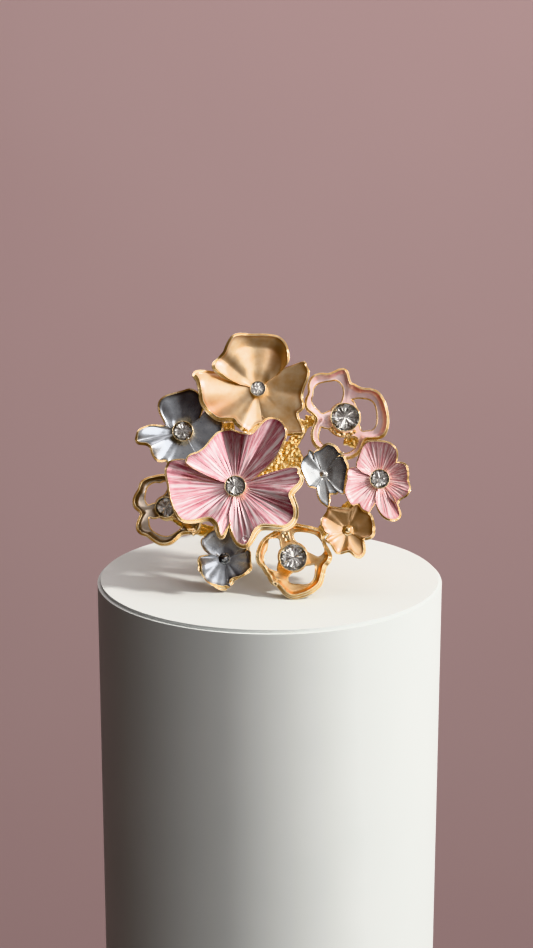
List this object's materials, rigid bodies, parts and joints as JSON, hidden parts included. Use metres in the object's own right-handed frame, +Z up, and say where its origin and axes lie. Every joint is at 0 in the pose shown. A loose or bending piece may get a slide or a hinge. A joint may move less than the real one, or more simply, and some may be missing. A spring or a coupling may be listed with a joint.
{
  "type": "cocktail ring",
  "caption": "Statement finger ring with a leaning cluster of enamelled metal blossoms, open and closed, centred with cut crystals and beads, on an open adjustable band.",
  "frame": {"origin": "centre of the finger hole, on its axis, midway along the band's width", "axes": "+X along the finger hole's axis, to the right seen from the front; +Z up as the ring stands on a table; the blossoms face -Y, leaning back 25 degrees, and the band is behind them towards +Y, left of the cluster's middle, where they hide it"},
  "size_m": [0.0432, 0.0322, 0.0387],
  "materials": {
    "polished_gold": "gold plated, polished",
    "granulated_gold": "gold plated, granulated texture",
    "crystal": "foil-backed cut crystal",
    "enamel_champagne": "pearlescent enamel",
    "enamel_silver_grey": "pearlescent enamel",
    "enamel_rose": "pearlescent enamel over radial striations",
    "enamel_gunmetal": "translucent dark enamel",
    "enamel_amber": "translucent amber enamel",
    "enamel_bronze": "pearlescent enamel",
    "enamel_silver": "pearlescent enamel",
    "enamel_pink": "pearlescent enamel over radial striations",
    "enamel_pale_pink": "pearlescent enamel",
    "gunmetal_bead": "dark plated bead",
    "silver_bead": "bright plated bead"
  },
  "bodies": {
    "root": {"top_blossom": "polished_gold", "top_enamel": "enamel_champagne", "top_post": "polished_gold", "top_stone_cup": "polished_gold", "top_stone": "crystal", "left_blossom": "polished_gold", "left_enamel": "enamel_silver_grey", "left_post": "polished_gold", "left_stone_cup": "polished_gold", "left_stone": "crystal", "centre_blossom": "polished_gold", "centre_enamel": "enamel_rose", "centre_post": "polished_gold", "centre_stone_cup": "polished_gold", "centre_stone": "crystal", "bottom_left_blossom": "polished_gold", "bottom_left_enamel": "enamel_silver_grey", "bottom_left_post": "polished_gold", "bottom_left_bead": "gunmetal_bead", "lower_right_blossom": "polished_gold", "lower_right_enamel": "enamel_bronze", "lower_right_post": "polished_gold", "lower_right_bead": "polished_gold", "inner_right_blossom": "polished_gold", "inner_right_enamel": "enamel_silver", "inner_right_post": "polished_gold", "inner_right_bead": "silver_bead", "right_blossom": "polished_gold", "right_enamel": "enamel_pink", "right_post": "polished_gold", "right_stone_cup": "polished_gold", "right_stone": "crystal", "lower_left_blossom": "polished_gold", "lower_left_enamel": "enamel_gunmetal", "lower_left_post": "polished_gold", "lower_left_stone_cup": "polished_gold", "lower_left_stone": "crystal", "bottom_blossom": "polished_gold", "bottom_enamel": "enamel_amber", "bottom_post": "polished_gold", "bottom_stone_cup": "polished_gold", "bottom_stone": "crystal", "upper_right_blossom": "polished_gold", "upper_right_enamel": "enamel_pale_pink", "upper_right_post": "polished_gold", "upper_right_stone_cup": "polished_gold", "upper_right_stone": "crystal", "dew_stone": "crystal", "gallery_frame": "granulated_gold", "side_rail": "granulated_gold", "shank_saddle": "polished_gold", "finger_band": "polished_gold"}
  },
  "joints": []
}
